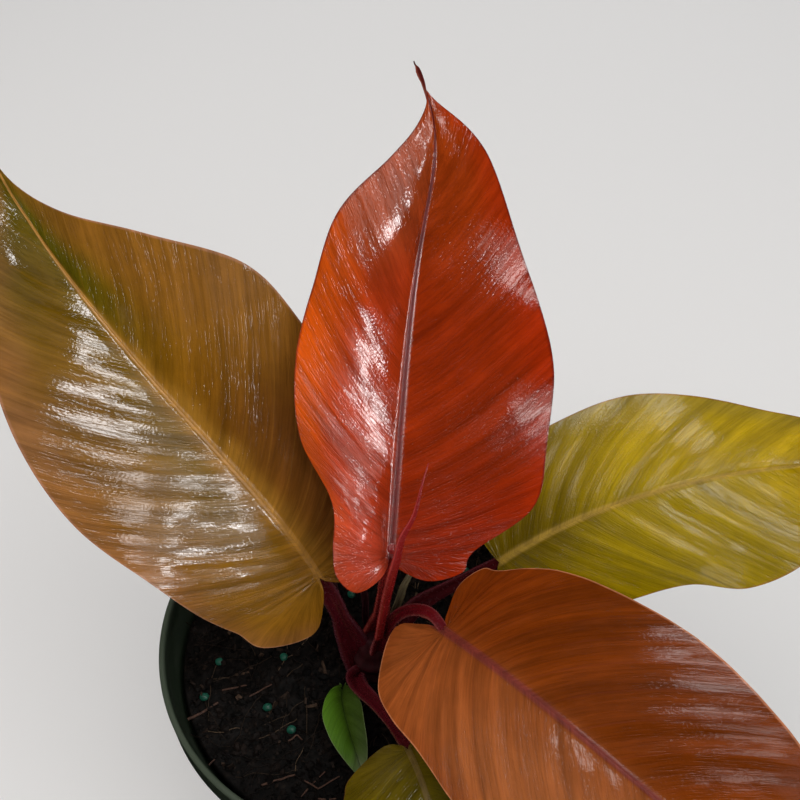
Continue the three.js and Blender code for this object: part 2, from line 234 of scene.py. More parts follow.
leaves = {
    "uprightRed": {
        "node": "upright_red", "slot": "leaf_red",
        "spine": [(8, -13, 198), (17, 33, 252), (20, 50, 283), (28, 50, 295), (31, 50, 302), (22, 67, 321)],
        "facing": ((5, 39), (22, 31)),
        "left": {"fold": (28, 21), "curl": -37, "lobe": (11, 11), "widths": (20, 21, 32, 35, 32, 28, 14, 1)},
        "right": {"fold": (7, 8), "curl": -5, "lobe": (13, 7), "widths": (26, 43, 46, 47, 39, 28, 16, 2)},
        "petiole": [(0, -7, 124), (0, -4, 136), (3, -4, 150), (5, -7, 171)],
        "petioleSize": [(14, 10), (9, 7), (6, 5), (4.4, 4)],
        "rib": 1.0, "ribs": 15, "corrugation": 0.07, "wave": 1.7, "seed": 3.0, "shine": 0.5, "creases": 0.24,
        "bulges": [  # along, across, reach along, reach across, height in mm
            (0.68, -0.5, 0.2, 0.4, 2.4), (0.55, -0.3, 0.07, 0.2, -0.7), (0.8, -0.35, 0.05, 0.25, -0.8),
            (0.07, -0.55, 0.1, 0.5, 3.0), (0.3, 0.5, 0.2, 0.4, -0.6), (0.85, 0.5, 0.1, 0.3, 0.8),
        ],
        "colour": "#882705", "midrib": "#6c140c", "margin": "#5e1610",
        "under": "#84301a", "underRib": "#a04a34",
        "patches": [  # along, across, reach along, reach across, colour
            (0.45, 0.5, 0.4, 0.4, "#872706"), (0.5, 1.0, 0.5, 0.16, "#a72a07"),
            # painted light: the bright orange strip along the left margin stands for light falling on that
            # side, and the pinkish left lobe is a painted reflection
            (0.42, -1.0, 0.3, 0.28, "#dc580a"), (0.02, -0.6, 0.1, 0.5, "#bf4832"),
            (0.04, 0.5, 0.12, 0.5, "#811c07"), (0.9, 0.0, 0.14, 0.8, "#96400f"),
            (0.75, 0.5, 0.12, 0.4, "#99390a"), (0.72, -0.6, 0.1, 0.4, "#96421f"),
            # painted light: the left half is painted lighter where light falls on it
            (0.35, -0.4, 0.3, 0.3, "#b43812"),
        ],
    },
    "leftOlive": {
        "node": "left_olive", "slot": "leaf_olive",
        "spine": [(-16, -7, 180), (-24, -4, 207), (-40, 4, 230), (-63, 18, 251), (-87, 41, 272),
                  (-108, 73, 296)],
        "facing": ((-13, 62), (-37, 57)),
        "left": {"fold": (26, 26), "curl": -15, "lobe": (12, 18), "widths": (32, 37, 41, 45, 41, 31, 17, 3)},
        "right": {"fold": (12, 10), "curl": -17, "lobe": (14, 8), "widths": (33, 38, 42, 45, 44, 27, 11, 2)},
        "petiole": [(-3, -10, 122), (-6, -10, 136), (-9, -9, 149), (-12, -8, 164)],
        "petioleSize": [(15, 9), (13.5, 7.5), (10.5, 5.8), (6.4, 4.5)],
        "rib": 1.0, "ribs": 17, "corrugation": 0.16, "wave": 1.2, "seed": 11.0, "shine": 0.55, "creases": 0.4,
        "bulges": [
            (0.75, 0.3, 0.08, 0.3, 1.0), (0.62, 0.55, 0.07, 0.3, -0.9), (0.45, 0.5, 0.07, 0.3, 0.7),
            (0.45, -0.95, 0.2, 0.4, 2.6), (0.62, -0.4, 0.08, 0.3, 0.7),
        ],
        # painted highlight: the pale margin colour stands for light catching the margin
        "colour": "#7a4f0c", "midrib": "#a87424", "margin": "#a8765a",
        "under": "#74502c", "underRib": "#94643c",
        "patches": [
            (0.45, 0.0, 0.5, 0.09, "#a5742a"), (0.4, -1.0, 0.45, 0.16, "#926036"),
            (0.85, -0.3, 0.2, 0.6, "#4a480a"), (0.8, 0.25, 0.16, 0.3, "#3c4404"),
            (0.95, 0.0, 0.12, 0.9, "#3c4204"), (0.45, -0.25, 0.3, 0.2, "#645206"),
            (0.15, 0.6, 0.18, 0.5, "#552a16"), (0.5, 0.9, 0.35, 0.25, "#84561f"),
            (0.05, -0.5, 0.1, 0.5, "#96661c"), (0.5, -0.4, 0.3, 0.3, "#7a520f"),
        ],
    },
    "nearOrange": {
        "node": "near_orange", "slot": "leaf_orange",
        "spine": [(24, -33, 185), (33, -47, 194), (48, -62, 198), (69, -83, 191), (99, -104, 173),
                  (139, -123, 141)],
        "facing": ((6, 62), (21, 53)),
        "left": {"fold": (7, 14), "curl": -12, "lobe": (15, 7), "widths": (25, 34, 39, 42, 39, 32, 19, 6)},
        "right": {"fold": (4, 8), "curl": -18, "lobe": (9, 20), "widths": (30, 32, 37, 39, 36, 26, 16, 6)},
        "petiole": [(1, -12, 126), (3, -13, 148), (8, -15, 165), (14, -19, 176), (20, -26, 184)],
        "petioleSize": [(13, 9), (8, 6), (5.2, 4.6), (4.4, 4), (4, 3.6)],
        "rib": 1.0, "ribs": 16, "corrugation": 0.2, "wave": 0.9, "seed": 23.0, "shine": 0.13, "creases": 0.26,
        "bulges": [(0.4, -0.5, 0.15, 0.4, 0.6), (0.25, 0.5, 0.1, 0.4, -0.5), (0.6, 0.5, 0.12, 0.4, 0.7)],
        # painted highlight: the pale margin colour stands for light catching the margin
        "colour": "#682c05", "midrib": "#6e2c22", "margin": "#c58058",
        "under": "#743e24", "underRib": "#94563a",
        "patches": [
            (0.04, 0.6, 0.12, 0.5, "#9a4e20"), (0.02, -0.6, 0.12, 0.5, "#742f0a"),
            (0.35, -0.5, 0.35, 0.4, "#642a05"), (0.5, 0.12, 0.5, 0.1, "#8a4a22"),
            (0.5, 0.6, 0.5, 0.4, "#9c5a30"), (0.5, 1.0, 0.4, 0.15, "#8e4520"),
            (0.8, 0.0, 0.25, 0.8, "#7a360c"),
        ],
    },
    "rightYellow": {
        "node": "right_yellow", "slot": "leaf_yellow",
        "spine": [(45, 3, 169), (74, 15, 181), (106, 22, 187), (138, 25, 188), (166, 29, 184),
                  (188, 32, 174)],
        "facing": ((20, 50), (21, 65)),
        "left": {"fold": (7, 6), "curl": -11, "lobe": (10, 1), "widths": (28, 31, 34, 35, 29, 21, 15, 8)},
        "right": {"fold": (6, 8), "curl": -10, "lobe": (10, 4), "widths": (29, 32, 32, 33, 39, 34, 21, 8)},
        "petiole": [(3, -8, 122), (7, -5, 139), (15, -1, 149), (25, 1, 156), (35, 2, 162)],
        "petioleSize": [(13, 9), (10, 7), (8, 6), (6.4, 5), (4.8, 4)],
        "rib": 1.0, "ribs": 15, "corrugation": 0.1, "wave": 0.9, "seed": 37.0, "shine": 0.13, "creases": 0.22,
        "bulges": [(0.4, 0.5, 0.12, 0.4, 0.8), (0.6, -0.5, 0.15, 0.4, 0.7)],
        "colour": "#8c7504", "midrib": "#9c7c26", "margin": "#8a5a24",
        "under": "#7d7320", "underRib": "#9a8c3a",
        "patches": [
            # painted shadow: the dark band across the base of the blade stands for shade there
            (0.3, 0.5, 0.3, 0.4, "#937a06"), (0.08, 0.0, 0.13, 0.9, "#3e2c02"),
            (0.5, -0.5, 0.4, 0.35, "#a88906"), (0.6, 0.8, 0.3, 0.25, "#806b05"),
            (0.6, -1.0, 0.4, 0.12, "#8a7420"), (0.9, 0.2, 0.2, 0.8, "#a8860c"),
        ],
    },
    "frontGreen": {
        "node": "front_green", "slot": "leaf_green",
        "spine": [(11, -62, 167), (15, -74, 173), (19, -87, 173), (21, -101, 164), (19, -116, 146),
                  (14, -132, 117)],
        "facing": ((-5, 64), (0, 65)),
        "left": {"fold": (7, 8), "curl": -12, "lobe": (8, 4), "widths": (23, 25, 26, 25, 22, 15, 9, 3)},
        "right": {"fold": (4, 8), "curl": -14, "lobe": (7, 7), "widths": (23, 25, 26, 25, 22, 15, 9, 3)},
        "petiole": [(-3, -13, 122), (-7, -17, 131), (-5, -25, 138), (1, -36, 146), (7, -49, 155)],
        "petioleSize": [(11, 7.5), (7.5, 5.5), (5.6, 4.8), (4.6, 4), (3.8, 3.4)],
        "rib": 0.7, "ribs": 12, "corrugation": 0.08, "wave": 0.5, "seed": 51.0, "shine": 0.4, "creases": 0.12,
        "bulges": [(0.5, 0.5, 0.2, 0.4, 0.5)],
        "colour": "#423604", "midrib": "#5e4a1c", "margin": "#5e3a1c",
        "under": "#4a3c1c", "underRib": "#6a5430",
        # painted light: the lighter patch near the base is light falling on one half, beside the orange
        # leaf's shadow on the other half
        "patches": [(0.05, 0.5, 0.15, 0.5, "#5a4c0a"), (0.7, 0.0, 0.3, 0.8, "#4a4a0c")],
    },
}

creases = {"count": 18, "width": 0.13}  # folds in each half, and their width in side-vein steps
bladeBuild = {"lobeSteps": 36, "mainSteps": 130, "rows": 40, "thickness": 0.5, "edge": 0.28}
smallBuild = {"lobeSteps": 8, "mainSteps": 48, "rows": 12, "thickness": 0.7, "edge": 0.35}
sheetLook = {"ribWidth": 1.8, "ribRise": 0.55, "keel": 2.2, "ribTaper": 0.82,  # mm, for a "rib" of 1
             "waves": 19, "rim": (0.984, 0.996), "marginAndHighlightStrength": 0.7, "mapUnit": 100, "weld": 1e-7, "sliver": 1e-8}


def traceSpine(leaf, count=240):
    t = np.linspace(0, 1, count + 1)[:, None]
    points = [np.repeat(np.array(p, float)[None], count + 1, 0) for p in leaf["spine"]]
    while len(points) > 1:
        points = [a + (b - a) * t for a, b in zip(points[:-1], points[1:])]
    place = points[0]
    run = np.concatenate([[0], np.cumsum(np.linalg.norm(np.diff(place, axis=0), axis=1))])
    along = unit(np.gradient(place, run, axis=0))
    baseUp, tipUp = (direction(*f) for f in leaf["facing"])
    up = baseUp + (tipUp - baseUp) * (run / run[-1])[:, None]
    up = unit(up - np.sum(up * along, 1)[:, None] * along)
    return {"run": run, "length": run[-1], "place": place, "along": along, "up": up,
            "across": np.cross(along, up)}


def sheetPoint(spine, half, sign, widest, out, along, offset):
    run, length = spine["run"], spine["length"]
    held = np.clip(along, 0, length)

    def at(key):
        return np.stack([np.interp(held, run, spine[key][:, k]) for k in range(3)], -1)

    fold = np.radians(half["fold"][0] + (half["fold"][1] - half["fold"][0]) * held / length)
    bend = math.radians(half["curl"]) / widest
    angle = fold + bend * out
    tilt = angle * smoothStep(0, 1.5, out)  # the halves meet squarely on the midrib
    lateral = (np.sin(angle) - np.sin(fold)) / bend - offset * np.sin(tilt)
    height = (np.cos(fold) - np.cos(angle)) / bend + offset * np.cos(tilt)
    point = at("place") + unit(at("along")) * np.minimum(along, 0)[..., None]
    return point + unit(at("across")) * (sign * lateral)[..., None] + unit(at("up")) * height[..., None]


def splinePoints(points, perSpan):
    p = np.array([points[0], *points, points[-1]], float)
    t = np.linspace(0, 1, perSpan, endpoint=False)[:, None]
    fine = [b + (c - a) / 2 * t + (a - 2.5 * b + 2 * c - d / 2) * t ** 2
            + (1.5 * b - 1.5 * c + (d - a) / 2) * t ** 3 for a, b, c, d in zip(p, p[1:], p[2:], p[3:])]
    fine = np.vstack([*fine, p[-1:]])
    run = np.concatenate([[0], np.cumsum(np.linalg.norm(np.diff(fine, axis=0), axis=1))])
    return fine, run


def marginCurve(half, length):
    out, back = half["lobe"]
    shoulder = out + 0.78 * (half["widths"][0] - out)
    outline = [(0, 0), (0.28 * out, -0.6 * back), (out, -back), (shoulder, -0.5 * back)]
    outline += [(w, f * length) for w, f in zip(half["widths"], stations)] + [(0, length)]
    return splinePoints(outline, 30)


def veinGrid(half, length, build):  # each line of the grid runs out along the side veins
    fine, run = marginCurve(half, length)
    lobeEnd = run[np.argmax(fine[:, 1] > 0)]
    fan = np.linspace(0, 1, build["lobeSteps"] + 1)[:-1]
    main = np.linspace(0, 1, build["mainSteps"] + 1)
    place = np.concatenate([lobeEnd * fan, lobeEnd + (run[-1] - lobeEnd) * main])
    start = length * np.concatenate([0 * fan, main]) ** 2
    edge = np.stack([np.interp(place, run, fine[:, k]) for k in range(2)], -1)
    reach = smoothStep(0, 1, np.linspace(0, 1, build["rows"] + 1))
    w = reach[None, :, None]
    origin = np.stack([0 * start, start], -1)[:, None]
    bow = np.stack([0.5 * edge[:, 0], start + 0.3 * (edge[:, 1] - start)], -1)[:, None]
    sheet = (1 - w) ** 2 * origin + 2 * w * (1 - w) * bow + w ** 2 * edge[:, None]
    phase = np.concatenate([fan - 1, main * 8])
    opened = smoothStep(0, 0.5 * lobeEnd, place) * (1 - smoothStep(0.985 * run[-1], run[-1], place))
    return sheet, place, reach * opened[:, None], phase


def paintTint(leaf, along, across):
    tint = np.zeros(along.shape + (3,)) + np.array(srgb(leaf["colour"])[:3])
    total = np.ones(along.shape)[..., None]
    for a, c, reachAlong, reachAcross, colour in leaf["patches"]:
        weight = 3 * np.exp(-((along - a) / reachAlong) ** 2 - ((across - c) / reachAcross) ** 2)[..., None]
        tint = tint + weight * np.array(srgb(colour)[:3])
        total = total + weight
    return tint / total


def foldRelief(leaf, phase, w, chance):  # soft folds that run out along single side veins
    relief = np.zeros(w.shape)
    for n in range(creases["count"]):
        vein, inner, reachOut, height = chance.uniform((1.5, 0.05, 0.25, -1), (7.2, 0.45, 0.6, 1))
        outer = inner + reachOut
        line = np.exp(-((phase - vein) / creases["width"]) ** 2)[:, None]
        held = smoothStep(inner, inner + 0.12, w) * (1 - smoothStep(outer, outer + 0.15, w))
        relief = relief + leaf["creases"] * height * line * held
    return relief


def makeBlade(name, leaf, material, node, build=bladeBuild):
    look = sheetLook
    spine = traceSpine(leaf)
    length = spine["length"]
    widest = max(*leaf["left"]["widths"], *leaf["right"]["widths"])
    vertices, faces, tint, under, veinUv, sheetUv, rib, ribMask = [], [], [], [], [], [], [], []
    chance = np.random.default_rng(int(leaf["seed"]))
    for half, sign in ((leaf["left"], -1), (leaf["right"], 1)):
        sheet, place, w, phase = veinGrid(half, length, build)
        x, y = sheet[..., 0], sheet[..., 1]
        steps, rows = x.shape
        phases = np.broadcast_to((phase * leaf["ribs"] / 8)[:, None], x.shape)
        flat = np.stack([sign * x, y, 0 * x], -1).reshape(-1, 3)
        soft = noiseAt(flat, 0.03, leaf["seed"]).reshape(x.shape)
        lumps = noiseAt(flat, 0.09, leaf["seed"] + 7).reshape(x.shape)
        calm = smoothStep(0.02, 0.2, w) * (1 - smoothStep(0.9, 1.0, y / length))
        relief = leaf["corrugation"] * np.cos(fullTurn * phases) * calm * (1 - 0.6 * w)
        relief = relief + leaf["rib"] * calm * (0.8 * soft + 0.15 * lumps)
        for a, c, reachAlong, reachAcross, height in leaf["bulges"]:
            spot = ((y / length - a) / reachAlong) ** 2 + ((sign * w - c) / reachAcross) ** 2
            relief = relief + height * calm * np.exp(-spot)
        relief = relief + foldRelief(leaf, phase, w, chance)
        ripple = np.sin(y / length * look["waves"] + sign * 1.3 + leaf["seed"])
        relief = relief + leaf["wave"] * w ** 3 * ripple
        taper = leaf["rib"] * (1 - look["ribTaper"] * np.clip(y / length, 0, 1))
        fromRib = x / (look["ribWidth"] * taper)
        ribTop = look["ribRise"] * taper * (1 - smoothStep(0.35, 1.25, fromRib))
        keel = look["keel"] * taper * (1 - smoothStep(0.1, 1.35, fromRib))
        halfThick = (build["thickness"] * (1 - w) + build["edge"] * w) / 2
        colour = paintTint(leaf, y / length + 0.05 * soft, sign * w + 0.06 * lumps)
        midrib = (1 - smoothStep(0.45, 1.1, fromRib))[..., None]
        colour = colour * (1 - midrib) + np.array(srgb(leaf["midrib"])[:3]) * midrib
        # The margin line is the margin's own colour on some leaves, and a painted highlight along the margin
        # on the olive and orange leaves and the scale leaf.
        marginAndHighlightShare = look["marginAndHighlightStrength"] * smoothStep(*look["rim"], w)[..., None]
        colour = colour * (1 - marginAndHighlightShare) + np.array(srgb(leaf["margin"])[:3]) * marginAndHighlightShare
        for face in (0, 1):
            offset = relief + halfThick + ribTop if face == 0 else relief - halfThick - keel
            points = sheetPoint(spine, half, sign, widest, x, y, offset) * mm
            first = len(vertices)
            vertices.extend(points.reshape(-1, 3))
            tint.extend(colour.reshape(-1, 3))
            under.extend(np.full(x.size, float(face)))
            apart = np.broadcast_to(place[:, None], x.shape) + 400 * sign  # keeps the halves' maps apart
            veinUv.extend(np.stack([apart, w * widest], -1).reshape(-1, 2) / look["mapUnit"])
            sheetUv.extend(flat[:, :2] / look["mapUnit"])
            rib.extend(phases.reshape(-1))
            ribMask.extend(midrib.reshape(-1))
            flip = (sign > 0) != (face > 0)
            for i in range(steps - 1):
                for j in range(rows - 1):
                    a = first + i * rows + j
                    corners = (a, a + rows, a + rows + 1, a + 1)
                    faces.append(corners[::-1] if flip else corners)
        top, low = first - x.size, first
        for i in range(steps - 1):
            a, b = i * rows + rows - 1, (i + 1) * rows + rows - 1
            wall = (top + a, top + b, low + b, low + a)
            faces.append(wall[::-1] if sign > 0 else wall)
    mesh = meshOf(name, vertices, faces)
    corner = np.zeros(len(mesh.loops), int)
    mesh.loops.foreach_get("vertex_index", corner)
    for key, values in (("veinMap", veinUv), ("sheetMap", sheetUv)):
        layer = mesh.uv_layers.new(name=key)
        layer.data.foreach_set("uv", np.array(values)[corner].ravel())
    layer = mesh.attributes.new("tint", "FLOAT_COLOR", "POINT")
    layer.data.foreach_set("color", np.hstack([np.array(tint), np.ones((len(tint), 1))]).ravel())
    storeValues(mesh, {"underside": under, "ribPhase": rib, "ribMask": ribMask})
    joined = bmesh.new()
    joined.from_mesh(mesh)
    bmesh.ops.remove_doubles(joined, verts=joined.verts, dist=look["weld"])
    bmesh.ops.dissolve_degenerate(joined, dist=look["sliver"], edges=joined.edges)
    joined.to_mesh(mesh)
    joined.free()
    showPiece(name, mesh, [node], material)


leafSkin = {  # spacings in mm across and along the side veins, depths in mm
    "fine": (1.1, 10), "broad": (3.4, 40), "bands": (9, 90), "mottle": 7.0, "pores": 0.9,
    "poreDepth": 0.06, "grooveDepth": 0.05, "broadDepth": 0.4,
    "dull": 0.5, "ior": 1.43, "coatRoughness": 0.08,
}


# Living leaf: a waxy, glossy cuticle over fine streaks that follow the side veins. The cells that give
# it its grain are too fine to show, so the pores are drawn coarser.
def leafMaterial(name, leaf, glossLow=0.06, glossHigh=0.14, coat=0.3):
    look, unitSize = leafSkin, sheetLook["mapUnit"]
    material, tree, shader = newMaterial(name)
    veins = addNode(tree, "ShaderNodeUVMap", uv_map="veinMap")
    flat = addNode(tree, "ShaderNodeUVMap", uv_map="sheetMap")
    tint = addNode(tree, "ShaderNodeAttribute", attribute_name="tint")
    under, phase, ribMask = (addNode(tree, "ShaderNodeAttribute", attribute_name=key).outputs["Fac"]
                             for key in ("underside", "ribPhase", "ribMask"))

    def streaks(spacing, detail, roughness):
        across, along = spacing
        spread = addNode(tree, "ShaderNodeMapping", {
            "Scale": (unitSize / across, unitSize / along, 1), "Vector": veins})
        return addNode(tree, "ShaderNodeTexNoise", {
            "Vector": spread, "Scale": 1.0, "Detail": detail, "Roughness": roughness}, noise_dimensions="2D")

    fine = streaks(look["fine"], 2, 0.55)
    broad = streaks(look["broad"], 3, 0.55)
    bands = streaks(look["bands"], 2, 0.5)
    mottle = addNode(tree, "ShaderNodeTexNoise", {
        "Vector": flat, "Scale": unitSize / look["mottle"], "Detail": 4, "Roughness": 0.6},
        noise_dimensions="2D")
    level = 1.0
    for row in ((fine, 0.3, 0.7, 0.9, 1.1), (broad, 0.3, 0.7, 0.88, 1.12), (bands, 0.35, 0.65, 0.84, 1.16),
                (mottle, 0.35, 0.65, 0.95, 1.05)):  # pattern, its range, then the brightness it gives
        shade = addNode(tree, "ShaderNodeMapRange", row)
        level = addNode(tree, "ShaderNodeMath", (level, shade), operation="MULTIPLY")
    lit = addNode(tree, "ShaderNodeVectorMath", {0: tint, "Scale": level}, operation="SCALE")
    wrap = addNode(tree, "ShaderNodeMath", (phase, 0.5), operation="PINGPONG")
    line = addNode(tree, "ShaderNodeMapRange", (wrap, 0.0, 0.05, 0.12, 0.0))
    above = addNode(tree, "ShaderNodeMix", {"Factor": line, "A": lit, "B": srgb(leaf["midrib"])},
                    data_type="RGBA")
    litUnder = addNode(tree, "ShaderNodeVectorMath", {0: srgb(leaf["under"])[:3], "Scale": level},
                       operation="SCALE")
    raised = addNode(tree, "ShaderNodeMapRange", (wrap, 0.0, 0.09, 0.55, 0.0))
    veined = addNode(tree, "ShaderNodeMath", (raised, ribMask), operation="MAXIMUM")
    below = addNode(tree, "ShaderNodeMix", {"Factor": veined, "A": litUnder, "B": srgb(leaf["underRib"])},
                    data_type="RGBA")
    colour = addNode(tree, "ShaderNodeMix", {"Factor": under, "A": above, "B": below}, data_type="RGBA")
    gloss = addNode(tree, "ShaderNodeMapRange", (broad, 0.3, 0.7, glossLow, glossHigh))
    for mask in (under, ribMask):
        gloss = addNode(tree, "ShaderNodeMix", {"Factor": mask, "A": gloss, "B": look["dull"]},
                        data_type="FLOAT")
    pores = addNode(tree, "ShaderNodeTexNoise", {
        "Vector": flat, "Scale": unitSize / look["pores"], "Detail": 1}, noise_dimensions="2D")
    grooves = addNode(tree, "ShaderNodeMapRange", {"From Min": 0.4, "From Max": 0.5, "Value": fine})
    peel = addNode(tree, "ShaderNodeBump", {
        "Strength": 0.8, "Distance": look["poreDepth"] * mm, "Height": pores})
    grooved = addNode(tree, "ShaderNodeBump", {
        "Strength": 1.0, "Distance": look["grooveDepth"] * mm, "Height": grooves, "Normal": peel})
    rippled = addNode(tree, "ShaderNodeBump", {
        "Strength": 0.4, "Distance": look["broadDepth"] * mm, "Height": broad, "Normal": grooved})
    feed(tree, shader, {
        "Base Color": colour, "Roughness": gloss, "Normal": rippled, "IOR": look["ior"],
        "Specular IOR Level": leaf["shine"], "Coat Weight": coat * leaf["shine"],
        "Coat Roughness": look["coatRoughness"]})
    return material


for leafName, leaf in leaves.items():
    makeBlade(leafName + "Blade", leaf, leafMaterial(leafName + "Leaf", leaf), leaf["node"] + "_blade")
print("leaf blades made")

sheathBase = {"rib": 0.14, "ribs": 6, "corrugation": 0.05, "wave": 0.2, "shine": 0.4, "creases": 0.02,
              "bulges": []}
scaleHalf = {"curl": -44, "lobe": (2, 1), "widths": (2, 4.5, 7, 8.5, 8, 6.5, 4.5, 2.2)}
dryHalf = {"fold": (20, 10), "curl": 50, "lobe": (1, 1), "widths": (2.2, 2.1, 2, 1.9, 1.7, 1.4, 1, 0.5)}
backHalf = {"fold": (30, 20), "curl": 60, "lobe": (1, 1), "widths": (2.4, 2.3, 2.1, 2, 1.7, 1.3, 0.9, 0.5)}
leftHalf = {"fold": (30, 20), "curl": 60, "lobe": (1, 1), "widths": (1.9, 1.9, 1.8, 1.6, 1.4, 1.1, 0.8, 0.4)}

smallLeaves = {
    "greenScaleLeaf": {
        "node": "green_scale_leaf", "slot": "scale_green",
        "spine": [(-12, -19, 127), (-13, -29, 134), (-9, -40, 136), (-6, -50, 134), (-4, -55, 130)],
        "facing": ((-14, 66), (-8, 60)),
        "left": {**scaleHalf, "fold": (58, 46)}, "right": {**scaleHalf, "fold": (62, 46), "curl": -40},
        "rib": 0.3, "ribs": 8, "corrugation": 0.02, "wave": 0.2, "seed": 61.0, "shine": 0.4, "creases": 0.02,
        "bulges": [(0.5, -0.5, 0.2, 0.4, 0.3)],
        # painted highlight: the pale margin colour stands for light catching the edge
        "colour": "#2e3e0c", "midrib": "#26380e", "margin": "#7c8a5c",
        "under": "#2f4512", "underRib": "#4c6a26",
        "patches": [
            # painted light: one wall of the folded leaf is painted bright green where light falls and the
            # other darker in shade; the pale tip is a painted highlight
            (0.4, 0.9, 0.5, 0.5, "#4f7a16"), (0.4, -0.9, 0.5, 0.6, "#314312"),
            (1.0, 0.0, 0.14, 1.0, "#8c9474"),
        ],
    },
    "drySheathRight": {
        **sheathBase, "node": "dry_sheath_right", "slot": "dry_sheath", "wave": 0.3, "seed": 71.0,
        "spine": [(5, 4, 128), (8, 4, 146), (13, 5, 160), (19, 6, 177)], "facing": ((20, 30), (25, 30)),
        "left": dryHalf, "right": {**dryHalf, "fold": (30, 20), "curl": 60},
        "colour": "#8a7d5c", "midrib": "#94886a", "margin": "#6a5c42",
        "under": "#7a6d50", "underRib": "#8c7f60",
        "patches": [(0.0, 0.0, 0.3, 1.0, "#5a4a34"), (0.8, 0.5, 0.3, 0.6, "#a89c78")],
    },
    "darkSheathBack": {
        **sheathBase, "node": "dark_sheath_back", "slot": "dark_stalk", "seed": 83.0,
        "spine": [(-3, 4, 128), (-3, 6, 144), (-3, 8, 156), (-2, 10, 168)], "facing": ((0, 30), (10, 30)),
        "left": backHalf, "right": backHalf,
        "colour": "#331419", "midrib": "#4a2228", "margin": "#5c3438",
        "under": "#2a1216", "underRib": "#3e1e24",
        "patches": [(0.8, 0.0, 0.3, 1.0, "#4f2a2c")],
    },
    "darkSheathLeft": {
        **sheathBase, "node": "dark_sheath_left", "slot": "dark_stalk", "seed": 97.0,
        "spine": [(-11, 0, 128), (-12, 1, 144), (-12, 2, 155), (-12, 4, 166)],
        "facing": ((-20, 30), (-10, 30)),
        "left": leftHalf, "right": leftHalf,
        "colour": "#2d1217", "midrib": "#402026", "margin": "#54303a",
        "under": "#261014", "underRib": "#3a1a20",
        "patches": [(0.8, 0.0, 0.3, 1.0, "#4a2a2c")],
    },
}

for leafName, leaf in smallLeaves.items():
    dull = 0.55 if leaf["slot"] == "dry_sheath" else 0.3
    skin = leafMaterial(leafName + "Skin", leaf, dull, dull + 0.15, 0.0)
    makeBlade(leafName, leaf, skin, leaf["node"], smallBuild)
print("scale leaf and sheaths made")

stalkBuild = {"steps": 70, "sides": 28, "intoBlade": 14}
stalkSkin = {"streaks": (22, 120, 1), "speckle": 1.6, "streakDepth": 0.3, "poreDepth": 0.15}  # last three mm


def sweepStalk(name, path, sizes, facing, material, node, groove=(0.0, 0.0), seam=0.0, knots=0.0,
               seed=1.0):
    steps, sides = stalkBuild["steps"], stalkBuild["sides"]
    fine, run = splinePoints(path, 24)
    even = np.linspace(0, run[-1], steps + 1)
    centre = np.stack([np.interp(even, run, fine[:, k]) for k in range(3)], -1)
    along = unit(np.gradient(centre, axis=0))
    held = np.linspace(0, run[-1], len(sizes))
    wide, deep = (np.interp(even, held, [size[k] for size in sizes]) for k in range(2))
    swell = 1 + knots * np.sin(even * 1.1) + 0.04 * noiseAt(centre, 0.2, seed)
    across = unit(np.cross(along, direction(*facing)))
    out = unit(np.cross(across, along))
    u = np.linspace(0, 1, steps + 1)[:, None]
    angle = np.linspace(0, fullTurn, sides, endpoint=False)[None]
    channel = (groove[0] + (groove[1] - groove[0]) * u) * np.exp(-(np.cos(angle) / 0.6) ** 2)
    rise = np.sin(angle)
    rise = rise * np.where(rise > 0, 1 - 2 * channel, 1)
    roll = 1 + seam * (((angle - 0.9) / fullTurn) % 1 - 0.5)
    sideways = (np.cos(angle) * roll * (wide * swell)[:, None] / 2)[..., None]
    upwards = (rise * roll * (deep * swell)[:, None] / 2)[..., None]
    place = centre[:, None] + across[:, None] * sideways + out[:, None] * upwards
    vertices = [*(place * mm).reshape(-1, 3), centre[0] * mm, centre[-1] * mm]
    mesh = meshOf(name, vertices, tubeFaces(steps + 1, sides))
    reach = np.append(np.repeat(u[:, 0], sides), [0, 1])
    # painted highlight: a pale band along the upper sides of the stalk, by the rims of its channel
    rim = np.append(np.tile(np.exp(-((np.sin(angle[0]) - 0.35) / 0.2) ** 2), steps + 1), [0, 0])
    girth = np.append(np.tile(np.arange(sides) / sides, steps + 1), [0, 0])
    storeValues(mesh, {"reach": reach, "rim": rim, "girth": girth, "run": reach * run[-1] * mm})
    showPiece(name, mesh, [node], material)


